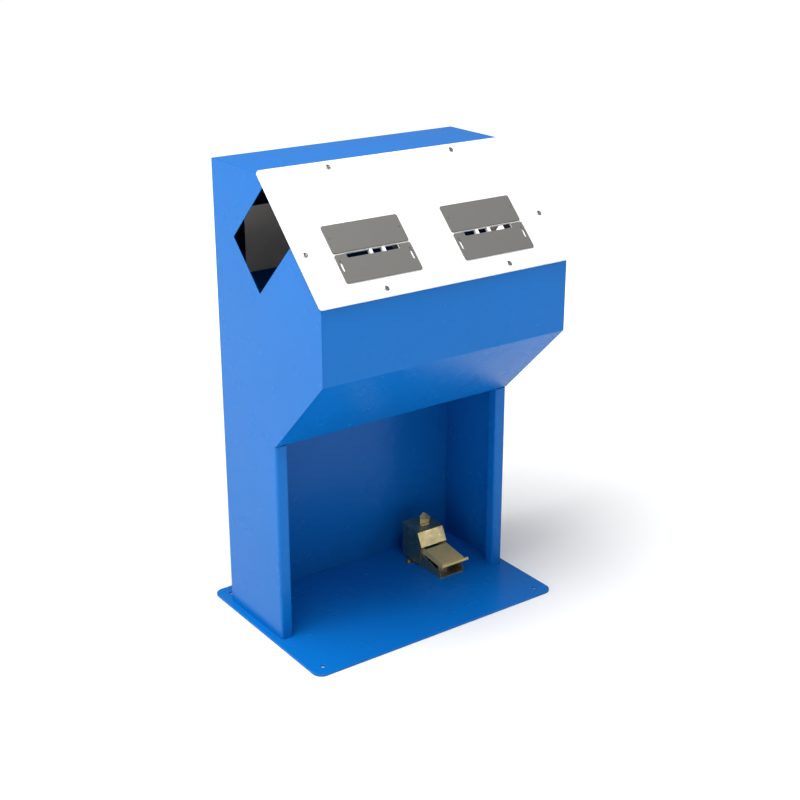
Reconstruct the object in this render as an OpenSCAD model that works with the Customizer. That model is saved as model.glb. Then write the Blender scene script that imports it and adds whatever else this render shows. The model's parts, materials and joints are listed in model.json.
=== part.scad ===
/* [Cabinet] */
// Width over both side panels
cabinet_width = 700; // [660:5:760]
// Height of the cabinet above its base plate
cabinet_height = 1160; // [1100:5:1260]
// Depth of the legs, back panel to front flange
leg_depth = 250; // [230:5:290]
// Depth of the head, back panel to fascia
head_depth = 461; // [445:1:520]
// Height of the upright fascia
fascia_height = 183.5; // [160:0.5:210]
// Length of the sloped face
slope_length = 350; // [345:1:380]
// Thickness of the cabinet sheet
sheet = 2; // [1.5:0.5:3]
// Width of the folded front flange on each leg
leg_flange = 32.5; // [25:0.5:45]
// Depth of the return lip behind that flange
leg_lip = 28; // [18:1:40]
// Outer radius of the leg folds
leg_bend = 6; // [3:0.5:10]

/* [Base plate] */
// Width of base plate beside each side panel
base_side = 18; // [0:1:50]
// Length of base plate ahead of the legs
base_front = 194; // [150:2:260]
// Thickness of the base plate
base_thick = 6; // [4:1:12]
// Corner radius of the base plate
base_corner = 25; // [5:1:50]
// Inset of the anchor holes from both edges
anchor_inset = 35; // [28:1:60]
// Diameter of the anchor holes
anchor_hole = 12; // [9:0.5:14]
// Length of base plate behind the back panel
rear_margin = 70; // [40:2:110]

/* [Side notches] */
// Start of the notch below the slope's top edge
notch_start = 32; // [20:1:60]
// Length of the notch down the slope
notch_length = 158; // [120:2:170]
// Depth of the notch, square to the slope
notch_depth = 207; // [120:1:220]

/* [Front panel] */
// Overhang of the front panel past each side panel
panel_side_over = 5.5; // [0:0.5:15]
// Overhang of the front panel past the slope's top edge
panel_top_over = 4; // [0:0.5:8]
// Overhang of the front panel past the slope's lower edge
panel_low_over = 7; // [0:0.5:12]
// Thickness of the front panel
panel_thick = 5; // [3:0.5:8]
// Corner radius of the front panel
panel_corner = 8; // [3:1:15]

/* [Ticket stations] */
// Distance of each station from the middle
station_x = 164; // [150:1:190]
// Width of the grey plates beside each end of the mouth
plate_side = 31; // [24:0.5:36]
// Length of the upper plate down the slope
upper_plate_length = 71.5; // [60:0.5:80]
// Length of the lower plate down the slope
lower_plate_length = 72.5; // [60:0.5:80]
// Thickness of the grey station plates
plate_thick = 3; // [2:0.5:5]
// Start of the upper plate below the slope's top edge
upper_plate_start = 160.5; // [150:0.5:165]
// Gap between the two plates
plate_gap = 4.5; // [2:0.5:8]
// Half width of the ticket mouth
mouth_half = 71.5; // [55:0.5:75]
// Height of the ticket mouth along the slope
mouth_height = 11.5; // [6:0.5:14]
// Stroke of the cutter blade
blade_stroke = 15; // [12:0.5:18]
// Radius of a full ticket roll
roll_radius = 50; // [30:1:54]
// Width of the narrow roll and of its strip, which waits in the right mouth
strip_width = 31; // [20:1:60]
// Thickness of the ticket strip
strip_thick = 0.4; // [0.2:0.1:1]

/* [Rear door] */
// Width of the rear service opening
service_width = 540; // [400:10:600]
// Height of the rear service opening
service_height = 162; // [120:2:180]
// Distance of the opening's upper edge below the top
service_drop = 127; // [100:1:160]

/* [Foot valve] */
// Distance of the foot valve from the middle
pedal_x = 198.7; // [120:0.1:230]
// Width of the foot valve's channel
pedal_base_width = 78; // [70:1:86]
// Slope of the pedal plate at rest, in degrees
pedal_tilt = 8.5; // [5:0.5:9]
// Radius of the pedal's hinge pin
pin_radius = 4; // [3:0.5:5]

/* [Fits] */
// Radial clearance of every running fit
run_gap = 0.05; // [0.02:0.01:0.1]
// Gap between faces that slide past each other
face_gap = 0.3; // [0.2:0.05:0.5]
// Gap between the pedal plate and each wall of the channel
pedal_side_gap = 0.5; // [0.3:0.1:2]
// Radial clearance of every screw in its hole
screw_gap = 0.1; // [0.05:0.05:0.5]

/* [Hidden] */
$fn = 64;
diag = sqrt(0.5);
inner_half = cabinet_width / 2 - sheet;
base_width = cabinet_width + 2 * base_side;
base_depth = base_front + leg_depth + rear_margin;
back_y = base_depth / 2 - rear_margin;
leg_front = back_y - leg_depth;
head_front = back_y - head_depth;
top_z = base_thick + cabinet_height;
slope_run = slope_length * diag;
slope_y = head_front + slope_run;
fascia_top = top_z - slope_run;
fascia_bottom = fascia_top - fascia_height;
under_z = fascia_bottom - (head_depth - leg_depth);
shelf_z = under_z + sheet;
fold_width = 25;
panel_width = cabinet_width + 2 * panel_side_over;
panel_length = slope_length + panel_top_over + panel_low_over;
panel_mid = panel_length / 2 - panel_top_over;
lower_plate_start = upper_plate_start + upper_plate_length + plate_gap;
mouth_s = lower_plate_start;
window_s = mouth_s - 2.5;
window_length = 26;
plate_width = 2 * (mouth_half + plate_side);
plate_hole_x = plate_width / 2 - 8.5;
rib_width = 7.5;
rib_offsets = [-4, 31];
rib_drop = 4;
edge_screw_x = inner_half - 15.5;
edge_screw_s = 222;
row_screw_x = 175;
row_screw_inset = 12.5;
screw_shank = 4;
screw_head = 7;
screw_head_height = 2.2;
hex_flat = 5;
unit_half = mouth_half + 12.5;
unit_sheet = 3;
blade_thick = 2;
blade_z = -(rib_drop + face_gap + blade_thick);
blade_start = mouth_s + 1.5 + blade_stroke;
guide_start = blade_start - 1;
guide_end = guide_start + 48;
block_start = blade_start + 33;
block_length = 12;
cylinder_d = 20;
cylinder_start = block_start + block_length + 12;
cylinder_wall = 4;
piston_length = 8;
piston_start = cylinder_start + cylinder_wall + 9 + blade_stroke;
cylinder_length = piston_start - cylinder_start + piston_length + 2 + cylinder_wall;
cylinder_radius = 12;
rod_radius = 4;
piston_radius = 9;
roller_radius = 12;
roller_d = 100;
ticket_s = mouth_s + 8;
roller_pitch = roller_radius + face_gap / 2;
roll_s = mouth_s + 48.5;
roll_d = roller_d + roller_radius + 3 + roll_radius;
spindle_radius = 6;
hub_radius = 12.5;
door_overlap = 12;
service_z = top_z - service_drop - service_height;
hinge_y = back_y + 5;
hinge_z = service_z - door_overlap;
knuckle_radius = 4.5;
hinge_pin = 2.5;
hinge_x = service_width / 2 - 70;
hinge_half = 20;
door_knuckle = 7.85;
pedal_front = -38;
pedal_rear = 127;
valve_sheet = 2.5;
hood_sheet = 3;
hood_half = pedal_base_width / 2 + face_gap + hood_sheet;
pivot_y = 82;
pivot_z = base_thick + 45;
pedal_plate = 3;
pedal_width = pedal_base_width - 2 * (valve_sheet + pedal_side_gap);
plate_front_y = -42;
plate_front_z = base_thick + 46;
plate_rear_y = 33;
lip_radius = 4.5;
lip_y = plate_front_y - 9;
lip_half = pedal_base_width / 2 + 4;
ear_y = 80;
ear_length = 22;
ear_screw_y = ear_y + ear_length / 2;
plunger_y = 20;
plunger_radius = 4;
plunger_top = plate_front_z - pedal_plate + (plunger_y - plate_front_y) * tan(pedal_tilt);
plunger_ball = plunger_top - plunger_radius / cos(pedal_tilt) - face_gap;
grommet_y = 120;
inlet_x = -250;
inlet_z = shelf_z + 114;
manifold_y = 60;

blue = [0.10, 0.34, 0.78];
white = [0.94, 0.94, 0.94];
grey = [0.45, 0.44, 0.43];
steel = [0.62, 0.63, 0.65];
dark = [0.20, 0.21, 0.23];
gold = [0.72, 0.62, 0.36];
paper = [0.93, 0.91, 0.86];

function unit(v) = v / norm(v);
function left_of(v) = [-v[1], v[0]];
function turn_at(p, i) = unit(p[i + 1] - p[i]);
function way_in(p, i) = i > 0 ? turn_at(p, i - 1) : turn_at(p, 0);
function way_out(p, i) = i < len(p) - 1 ? turn_at(p, i) : way_in(p, i);
function mitre(p, i) = unit(left_of(way_in(p, i)) + left_of(way_out(p, i)));
function inner_point(p, i, t) = p[i] + mitre(p, i) * t / (mitre(p, i) * left_of(way_in(p, i)));
function slope_point(s) = [slope_y - s * diag, top_z - s * diag];

// A folded sheet seen from its end: the path is its outer face
module folded(path, t) {
    last = len(path) - 1;
    polygon(concat(path, [for (i = [last:-1:0]) inner_point(path, i, t)]));
}

// Stands a side view up and gives it a width about the middle
module across(width) {
    translate([-width / 2, 0, 0]) rotate([90, 0, 90]) linear_extrude(width) children();
}

// Slope coordinates: x across, -y down the slope, z out of it
module on_slope() {
    translate([0, slope_y, top_z]) rotate([45, 0, 0]) children();
}

module station(side) {
    on_slope() translate([side * station_x, 0, 0]) mirror([side > 0 ? 1 : 0, 0, 0]) children();
}

module rounded(x, y, r) {
    square([x - 2 * r, y], center = true);
    square([x, y - 2 * r], center = true);
    for (i = [-1, 1], j = [-1, 1]) {
        translate([i * (x / 2 - r), j * (y / 2 - r)]) circle(r);
    }
}

module rod_x(r, x0, x1) {
    translate([x0, 0, 0]) rotate([0, 90, 0]) cylinder(r = r, h = x1 - x0);
}

// A rod along the slope, given by its start and end down the slope
module rod_s(r, s0, s1) {
    translate([0, -s0, 0]) rotate([90, 0, 0]) cylinder(r = r, h = s1 - s0);
}

// A block in slope coordinates, from its limits
module slope_block(x0, x1, s0, s1, z0, z1) {
    translate([x0, -s1, z0]) cube([x1 - x0, s1 - s0, z1 - z0]);
}

module base_plate() {
    color(blue) difference() {
        linear_extrude(base_thick) rounded(base_width, base_depth, base_corner);
        for (i = [-1, 1], j = [-1, 1]) {
            translate([i * (base_width / 2 - anchor_inset), j * (base_depth / 2 - anchor_inset), -1])
                cylinder(d = anchor_hole, h = base_thick + 2);
        }
    }
}

module notch_shape() {
    r = 5;
    a = notch_start;
    b = notch_start + notch_length;
    translate([slope_y, top_z]) rotate(45) {
        translate([-b, -notch_depth + r]) square([b - a, notch_depth + 20]);
        translate([-b + r, -notch_depth]) square([b - a - 2 * r, notch_depth]);
        translate([-b + r, -notch_depth + r]) circle(r);
        translate([-a - r, -notch_depth + r]) circle(r);
    }
}

module side_shape() {
    difference() {
        polygon([
            [back_y, base_thick],
            [back_y, top_z],
            [slope_y, top_z],
            [head_front, fascia_top],
            [head_front, fascia_bottom],
            [leg_front, under_z],
            [leg_front + leg_bend, under_z],
            [leg_front + leg_bend, base_thick]
        ]);
        notch_shape();
    }
}

module fold_corner() {
    intersection() {
        difference() {
            circle(leg_bend);
            circle(leg_bend - sheet);
        }
        translate([-leg_bend, -leg_bend]) square(leg_bend);
    }
}

// The folded front edge of the left leg, seen from above
module leg_flange_shape() {
    x0 = -cabinet_width / 2;
    x1 = x0 + leg_flange;
    translate([x0 + leg_bend, leg_front + leg_bend]) fold_corner();
    translate([x0 + leg_bend, leg_front]) square([leg_flange - 2 * leg_bend, sheet]);
    translate([x1 - leg_bend, leg_front + leg_bend]) mirror([1, 0]) fold_corner();
    translate([x1 - sheet, leg_front + leg_bend]) square([sheet, leg_lip - leg_bend]);
}

module side_panel_shape() {
    translate([-cabinet_width / 2, 0, 0]) rotate([90, 0, 90]) linear_extrude(sheet) side_shape();
    translate([0, 0, base_thick]) linear_extrude(under_z - base_thick - 2) leg_flange_shape();
}

module left_side_panel() {
    color(blue) side_panel_shape();
}

module right_side_panel() {
    color(blue) mirror([1, 0, 0]) side_panel_shape();
}

module back_panel() {
    color(blue) difference() {
        translate([-inner_half, back_y - sheet, base_thick])
            cube([2 * inner_half, sheet, cabinet_height - sheet]);
        translate([-service_width / 2, back_y - sheet - 1, service_z])
            cube([service_width, sheet + 2, service_height]);
        translate([inlet_x, back_y - sheet - 1, inlet_z]) rotate([-90, 0, 0])
            cylinder(r = 7 + screw_gap, h = sheet + 2);
    }
}

module panel_row_holes(s) {
    for (i = [-1, 1]) {
        on_slope() translate([i * row_screw_x, -s, -sheet - 1])
            cylinder(r = screw_shank + screw_gap, h = sheet + 2);
    }
}

module top_cover() {
    color(blue) difference() {
        across(2 * inner_half)
            folded([[back_y, top_z], [slope_y, top_z], slope_point(fold_width)], sheet);
        panel_row_holes(row_screw_inset);
    }
}

module front_hood() {
    color(blue) difference() {
        across(2 * inner_half) folded([
            slope_point(slope_length - fold_width),
            [head_front, fascia_top],
            [head_front, fascia_bottom],
            [leg_front, under_z],
            [leg_front + fold_width, under_z]
        ], sheet);
        panel_row_holes(slope_length - row_screw_inset);
    }
}

module compartment_shelf() {
    y0 = leg_front + leg_bend;
    color(blue) difference() {
        translate([-inner_half, y0, shelf_z]) cube([2 * inner_half, back_y - sheet - y0, sheet]);
        translate([pedal_x, grommet_y, shelf_z - 1]) cylinder(r = 15, h = sheet + 2);
    }
}

module panel_rail_shape() {
    s0 = notch_start + notch_length + 10;
    s1 = slope_length - fold_width - 5;
    difference() {
        union() {
            slope_block(-inner_half, -inner_half + 36, s0, s1, -sheet, 0);
            slope_block(-inner_half, -inner_half + sheet, s0, s1, -30, 0);
        }
        translate([-edge_screw_x, -edge_screw_s, -sheet - 1])
            cylinder(r = screw_shank + screw_gap, h = sheet + 2);
    }
}

module left_panel_rail() {
    color(steel) on_slope() panel_rail_shape();
}

module right_panel_rail() {
    color(steel) on_slope() mirror([1, 0, 0]) panel_rail_shape();
}

module at_panel_screws() {
    for (i = [-1, 1]) {
        translate([i * row_screw_x, -row_screw_inset, 0]) children();
        translate([i * row_screw_x, -slope_length + row_screw_inset, 0]) children();
        translate([i * edge_screw_x, -edge_screw_s, 0]) children();
    }
}

module front_panel() {
    color(white) on_slope() difference() {
        translate([0, -panel_mid, 0]) linear_extrude(panel_thick)
            rounded(panel_width, panel_length, panel_corner);
        at_panel_screws() translate([0, 0, -1]) cylinder(r = screw_shank + 0.5, h = panel_thick + 2);
        for (side = [-1, 1]) {
            translate([side * station_x, -window_s - window_length / 2, -1])
                linear_extrude(panel_thick + 2) rounded(2 * mouth_half + 1, window_length, 3);
            for (i = [-1, 1]) {
                translate([side * station_x + i * plate_hole_x, 0, -1]) {
                    translate([0, -upper_plate_start - 33.5, 0]) cylinder(r = 1.5, h = panel_thick + 2);
                    translate([0, -lower_plate_start - 15.5, 0]) cylinder(r = 1.5, h = panel_thick + 2);
                }
            }
        }
    }
}

module panel_screws() {
    color(steel) on_slope() at_panel_screws() difference() {
        union() {
            translate([0, 0, panel_thick]) cylinder(r = screw_head, h = screw_head_height);
            translate([0, 0, -8]) cylinder(r = screw_shank, h = panel_thick + 8);
        }
        translate([0, 0, panel_thick + 0.7]) cylinder(d = hex_flat * 1.1547, h = 5, $fn = 6);
    }
}

module rivet_holes(s) {
    for (i = [-1, 1]) {
        translate([i * plate_hole_x, -s, 0]) cylinder(r = 1.5, h = 20);
    }
}

module upper_plate_shape() {
    difference() {
        translate([0, -upper_plate_start - upper_plate_length / 2, panel_thick])
            linear_extrude(plate_thick) rounded(plate_width, upper_plate_length, 5);
        rivet_holes(upper_plate_start + 33.5);
    }
}

module lower_plate_shape() {
    difference() {
        translate([0, -lower_plate_start - lower_plate_length / 2, panel_thick])
            linear_extrude(plate_thick) rounded(plate_width, lower_plate_length, 5);
        rivet_holes(lower_plate_start + 15.5);
        translate([0, -mouth_s - mouth_height / 2 + 5, 0]) linear_extrude(20)
            rounded(2 * mouth_half, mouth_height + 10, 4);
        for (i = [-1, 1]) {
            translate([i * plate_hole_x, -lower_plate_start - 31.5, 0]) linear_extrude(20)
                rounded(6, 23, 2);
        }
    }
}

module left_upper_plate() {
    color(grey) station(-1) upper_plate_shape();
}

module right_upper_plate() {
    color(grey) station(1) upper_plate_shape();
}

module left_lower_plate() {
    color(grey) station(-1) lower_plate_shape();
}

module right_lower_plate() {
    color(grey) station(1) lower_plate_shape();
}

module plate_rivets() {
    color(dark) for (side = [-1, 1]) {
        station(side) for (i = [-1, 1], s = [upper_plate_start + 33.5, lower_plate_start + 15.5]) {
            translate([i * plate_hole_x, -s, 0]) cylinder(r = 1.5, h = panel_thick + plate_thick - 0.5);
        }
    }
}

// White guide behind the mouth, with ribs that part the ticket lanes
module slot_guide_shape() {
    slope_block(-unit_half, unit_half, guide_start, guide_end, -rib_drop, 0);
    for (x = rib_offsets) {
        slope_block(x - rib_width / 2, x + rib_width / 2, window_s + 0.2, guide_start + 1, -rib_drop, 0);
        slope_block(x - rib_width / 2, x + rib_width / 2, window_s + 0.2, window_s + window_length - 1,
            -1, panel_thick);
    }
}

module left_slot_guide() {
    color(white) station(-1) slot_guide_shape();
}

module right_slot_guide() {
    color(white) station(1) slot_guide_shape();
}

// Side view of a cheek of the ticket unit, as distance down the slope and depth
module cheek_shape() {
    s0 = mouth_s - 31;
    s1 = slope_length - fold_width - 3;
    polygon([
        [s0, 0], [s1, 0], [s1, roll_d + 20], [roll_s - 40, roll_d + 20], [roll_s - 40, roller_d + 15],
        [ticket_s - 25, roller_d + 15], [ticket_s - 25, roller_d - 12], [ticket_s - 4, roller_d - 12],
        [ticket_s - 4, 36], [s0, 36]
    ]);
}

module unit_frame_shape() {
    reach = unit_half + unit_sheet + 5;
    s0 = mouth_s - 31;
    s1 = slope_length - fold_width - 3;
    difference() {
        union() {
            for (i = [-1, 1]) {
                translate([i * (unit_half + unit_sheet / 2) - unit_sheet / 2, 0, 0])
                    rotate([90, 0, 90]) linear_extrude(unit_sheet) rotate(180) cheek_shape();
            }
            for (i = [-1, 1]) {
                x0 = i > 0 ? unit_half : -unit_half - 14;
                slope_block(x0, x0 + 14, s0, s1, -unit_sheet, 0);
                x1 = i > 0 ? unit_half - 6 : -unit_half;
                slope_block(x1, x1 + 6, guide_start - 2, guide_end + 4, blade_z - face_gap - 3, blade_z - face_gap);
            }
            slope_block(-unit_half, unit_half, cylinder_start - 5, cylinder_start, -36, -unit_sheet);
        }
        translate([0, 0, -cylinder_d]) rod_s(7, cylinder_start - 6, cylinder_start + 1);
        for (i = [-1, 1]) {
            translate([0, -ticket_s - i * roller_pitch, -roller_d]) rod_x(rod_radius + run_gap, -reach, reach);
        }
        translate([0, -roll_s, -roll_d]) rod_x(spindle_radius + run_gap, -reach, reach);
    }
}

module left_unit_frame() {
    color(steel) station(-1) unit_frame_shape();
}

module right_unit_frame() {
    color(steel) station(1) unit_frame_shape();
}

module blade_shape() {
    slope_block(-unit_half + 1, unit_half - 1, blade_start, blade_start + 46, blade_z, blade_z + blade_thick);
}

module left_blade() {
    color(steel) station(-1) blade_shape();
}

module right_blade() {
    color(steel) station(1) blade_shape();
}

module blade_block_shape() {
    slope_block(-10, 10, block_start, block_start + block_length, -cylinder_d - 7, blade_z);
}

module left_blade_block() {
    color(dark) station(-1) blade_block_shape();
}

module right_blade_block() {
    color(dark) station(1) blade_block_shape();
}

module piston_rod_shape() {
    s0 = block_start + block_length;
    translate([0, 0, -cylinder_d]) {
        rod_s(rod_radius, s0, piston_start + 2);
        rod_s(piston_radius, piston_start, piston_start + piston_length);
    }
}

module left_piston_rod() {
    color(steel) station(-1) piston_rod_shape();
}

module right_piston_rod() {
    color(steel) station(1) piston_rod_shape();
}

module air_cylinder_shape() {
    s1 = cylinder_start + cylinder_length;
    translate([0, 0, -cylinder_d]) difference() {
        union() {
            rod_s(cylinder_radius, cylinder_start, s1);
            rod_s(7, cylinder_start - 5, cylinder_start + 1);
        }
        rod_s(rod_radius + run_gap, cylinder_start - 6, cylinder_start + cylinder_wall + 1);
        rod_s(piston_radius + run_gap, cylinder_start + cylinder_wall, s1 - cylinder_wall);
    }
}

module left_air_cylinder() {
    color(steel) station(-1) air_cylinder_shape();
}

module right_air_cylinder() {
    color(steel) station(1) air_cylinder_shape();
}

module roller_shape(way) {
    translate([0, -ticket_s - way * roller_pitch, -roller_d]) {
        rod_x(roller_radius, -unit_half + 4, unit_half - 4);
        rod_x(rod_radius, -unit_half - 6, unit_half + 6);
    }
}

module left_drive_roller() {
    color(dark) station(-1) roller_shape(1);
}

module right_drive_roller() {
    color(dark) station(1) roller_shape(1);
}

module left_pinch_roller() {
    color(dark) station(-1) roller_shape(-1);
}

module right_pinch_roller() {
    color(dark) station(1) roller_shape(-1);
}

module roll_spindle_shape() {
    translate([0, -roll_s, -roll_d]) {
        rod_x(hub_radius, -unit_half + 4, unit_half - 4);
        rod_x(spindle_radius, -unit_half - 6, unit_half + 6);
    }
}

module left_roll_spindle() {
    color(dark) station(-1) roll_spindle_shape();
}

module right_roll_spindle() {
    color(dark) station(1) roll_spindle_shape();
}

// One roll for each of the three lanes between the ribs
module ticket_rolls_shape(first_x) {
    a = rib_offsets[0];
    b = rib_offsets[1];
    lanes = [[first_x, a - 5], [a + 5, b - 5], [b + 5, mouth_half - 1]];
    translate([0, -roll_s, -roll_d]) for (lane = lanes) {
        difference() {
            rod_x(roll_radius, lane[0], lane[1]);
            rod_x(hub_radius, lane[0] - 1, lane[1] + 1);
        }
    }
}

module left_ticket_rolls() {
    color(paper) station(-1) ticket_rolls_shape(-mouth_half + 1);
}

module right_ticket_rolls() {
    color(paper) station(1) ticket_rolls_shape(rib_offsets[0] - 5 - strip_width);
}

// A strip drawn up from the rollers, its end resting on the window's upper edge
module right_ticket_strip() {
    t = strip_thick;
    x1 = rib_offsets[0] - 5;
    color(paper) station(1) translate([x1 - strip_width, 0, 0])
        rotate([90, 0, 90]) linear_extrude(strip_width) rotate(180) polygon([
            [window_s, -panel_thick], [window_s, 3], [ticket_s - t / 2, roller_d - 6],
            [ticket_s + t / 2, roller_d - 6], [window_s + t, 3], [window_s + t, -panel_thick]
        ]);
}

module at_hinges() {
    for (i = [-1, 1]) {
        translate([i * hinge_x, hinge_y, hinge_z]) children();
    }
}

module rear_door() {
    half = service_width / 2 + door_overlap;
    top = service_z + service_height + door_overlap;
    depth = hinge_y - back_y;
    color(dark) difference() {
        union() {
            translate([-half, back_y, hinge_z + 7]) cube([2 * half, sheet, top - hinge_z - 7]);
            at_hinges() {
                rod_x(knuckle_radius, -door_knuckle, door_knuckle);
                translate([-door_knuckle, -depth, 0]) cube([2 * door_knuckle, sheet, 8]);
            }
        }
        at_hinges() rod_x(hinge_pin + run_gap, -door_knuckle - 1, door_knuckle + 1);
    }
}

module hinge_leaves() {
    depth = hinge_y - back_y;
    color(dark) at_hinges() difference() {
        union() {
            translate([-hinge_half, -depth, -28]) cube([2 * hinge_half, sheet, 23]);
            for (x0 = [-hinge_half, door_knuckle + face_gap]) {
                length = hinge_half - door_knuckle - face_gap;
                rod_x_at(knuckle_radius, x0, length);
                translate([x0, -depth, -6]) cube([length, sheet, 6]);
            }
        }
        rod_x(hinge_pin, -hinge_half - 1, hinge_half + 1);
    }
}

module rod_x_at(r, x0, length) {
    rod_x(r, x0, x0 + length);
}

module hinge_pins() {
    color(steel) at_hinges() {
        rod_x(hinge_pin, -hinge_half, hinge_half);
        rod_x(hinge_pin + 1, hinge_half, hinge_half + 2);
    }
}

module door_knob() {
    z = service_z + service_height - 14;
    color(dark) translate([0, back_y + sheet, z]) rotate([-90, 0, 0]) {
        cylinder(r = 5, h = 12);
        translate([0, 0, 10]) cylinder(r = 11, h = 8);
    }
}

module air_inlet() {
    color(steel) translate([inlet_x, back_y, inlet_z]) rotate([-90, 0, 0]) difference() {
        union() {
            translate([0, 0, -sheet - 14]) cylinder(r = 7, h = sheet + 14 + 22);
            cylinder(r = 11, h = 6, $fn = 6);
            translate([0, 0, -sheet - 6]) cylinder(r = 11, h = 6, $fn = 6);
        }
        translate([0, 0, 8]) cylinder(r = 4.1, h = 20);
    }
}

module valve_manifold() {
    color(steel) translate([-60, manifold_y, shelf_z + sheet]) cube([120, 40, 34]);
}

module manifold_fittings() {
    color(dark) for (i = [-1.5, -0.5, 0.5, 1.5]) {
        translate([i * 28, manifold_y + 20, shelf_z + sheet + 34]) difference() {
            cylinder(r = 7, h = 16);
            translate([0, 0, 4]) cylinder(r = 4, h = 14);
        }
    }
}

module hose_grommet() {
    color(dark) translate([pedal_x, grommet_y, shelf_z]) rotate_extrude()
        polygon([[8, -3], [18, -3], [18, 0], [15, 0], [15, sheet], [18, sheet], [18, sheet + 3], [8, sheet + 3]]);
}

module in_valve() {
    translate([pedal_x, 0, 0]) children();
}

module pedal_base() {
    z = base_thick;
    half = pedal_base_width / 2;
    color(gold) in_valve() difference() {
        union() {
            translate([-half, pedal_front, z]) cube([2 * half, pedal_rear - pedal_front, valve_sheet]);
            for (x0 = [-half, half - valve_sheet]) {
                translate([x0, 0, 0]) rotate([90, 0, 90]) linear_extrude(valve_sheet) polygon([
                    [pedal_front, z], [pedal_front, z + 17], [40, z + 38], [62, z + 56],
                    [pedal_rear, z + 56], [pedal_rear, z]
                ]);
            }
            for (i = [-1, 1]) {
                x0 = i > 0 ? half - 1 : -half - 19;
                translate([x0, ear_y, z]) cube([20, ear_length, valve_sheet]);
            }
        }
        translate([0, pivot_y, pivot_z]) rod_x(pin_radius, -half - 1, half + 1);
        for (i = [-1, 1]) {
            translate([i * (half + 11), ear_screw_y, z - 1]) cylinder(r = 3 + screw_gap, h = valve_sheet + 2);
        }
    }
}

module pedal_hood() {
    z = base_thick;
    color(gold) in_valve() {
        across(2 * hood_half) folded([[pedal_rear + hood_sheet, z + 60], [pedal_rear + hood_sheet, z + 106],
            [61, z + 97], [42.5, z + 59.5]], hood_sheet);
        for (x0 = [-hood_half, hood_half - hood_sheet]) {
            translate([x0, 0, 0]) rotate([90, 0, 90]) linear_extrude(hood_sheet) polygon([
                [52, z + 6], [42.5, z + 59.5], [61, z + 97], [pedal_rear + hood_sheet, z + 106],
                [pedal_rear + hood_sheet, z + 6]
            ]);
        }
        hood_latch();
    }
}

// Latch on top of the hood: a foot, a riser and a leaning thumb piece
module hood_latch() {
    z = base_thick + 98.5;
    translate([-13, 84, z]) cube([26.5, 8, 5.5]);
    translate([0, 92, 0]) rotate([90, 0, 0]) linear_extrude(valve_sheet)
        polygon([[-13, z], [13.5, z], [21, base_thick + 111.5], [-12, base_thick + 120.5]]);
    translate([-12, 92, base_thick + 120]) rotate([0, 15.3, 0]) rotate([65, 0, 0]) linear_extrude(valve_sheet) {
        polygon([[-1.5, 0], [34, 0], [36.5, 5], [18, 16.3], [9.8, 15.9], [-1.5, 6.5]]);
        translate([13.5, 13]) circle(4.6);
    }
}

module pedal_plate() {
    z = plate_front_z;
    rise = (plate_rear_y - plate_front_y) * tan(pedal_tilt);
    top_rear = z + rise;
    half = pedal_width / 2;
    color(gold) in_valve() difference() {
        union() {
            across(pedal_width) polygon([
                [plate_front_y, z], [plate_rear_y, top_rear],
                [plate_rear_y, top_rear - pedal_plate], [plate_front_y, z - pedal_plate]
            ]);
            for (x0 = [-half, half - valve_sheet]) {
                translate([x0, 0, 0]) rotate([90, 0, 90]) linear_extrude(valve_sheet) {
                    polygon([
                        [plate_front_y, z - 1], [plate_rear_y, top_rear - 1], [pivot_y, pivot_z + 9],
                        [pivot_y, pivot_z - 9], [plate_rear_y, pivot_z - 6], [plate_front_y, z - 16]
                    ]);
                    translate([pivot_y, pivot_z]) circle(9);
                }
            }
            translate([0, lip_y, z - lip_radius + 1]) rod_x(lip_radius, -lip_half, lip_half);
            across(pedal_width) polygon([
                [lip_y, z - 5.5], [plate_front_y, z - 2], [plate_front_y + 1, z - 2],
                [plate_front_y + 1, z - pedal_plate], [lip_y, z - 7.5]
            ]);
        }
        translate([0, pivot_y, pivot_z]) rod_x(pin_radius + run_gap, -half - 1, half + 1);
    }
}

module pedal_pin() {
    half = pedal_base_width / 2;
    color(steel) in_valve() translate([0, pivot_y, pivot_z]) rod_x(pin_radius, -half, half);
}

module valve_body() {
    z = base_thick + valve_sheet;
    color(dark) in_valve() difference() {
        union() {
            translate([-16, plunger_y - 18, z]) cube([32, 36, 20]);
            translate([0, plunger_y, z]) cylinder(r = 9, h = 23);
        }
        translate([0, plunger_y, z + 2]) cylinder(r = plunger_radius + run_gap, h = 30);
        for (i = [-1, 1]) {
            translate([i * 9, plunger_y + 10, z + 10]) rotate([-90, 0, 0]) cylinder(r = 4, h = 10);
        }
    }
}

module valve_plunger() {
    z = base_thick + valve_sheet;
    color(steel) in_valve() translate([0, plunger_y, 0]) {
        translate([0, 0, z + 13]) cylinder(r = plunger_radius, h = plunger_ball - z - 13);
        translate([0, 0, plunger_ball]) sphere(plunger_radius);
        translate([0, 0, plunger_ball - 5]) cylinder(r = 8, h = 2.5);
    }
}

// The wire's section is drawn as the arc it covers in a flat cut of the coil
module return_spring() {
    z0 = base_thick + valve_sheet + 23;
    z1 = plunger_ball - 5;
    turns = 4;
    coil = 6.2;
    wire = 0.8;
    reach = 60;
    steps = [-2:2];
    outer_arc = [for (i = steps) (coil + wire * cos(i * 45)) * [cos(i * reach / 2), sin(i * reach / 2)]];
    inner_arc = [for (i = steps) (coil - wire * cos(i * 45)) * [cos(-i * reach / 2), sin(-i * reach / 2)]];
    color(steel) in_valve() translate([0, plunger_y, z0])
        linear_extrude(z1 - z0, twist = -360 * turns, slices = 10 * turns)
        polygon(concat(outer_arc, [for (i = [1:3]) inner_arc[i]]));
}

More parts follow.
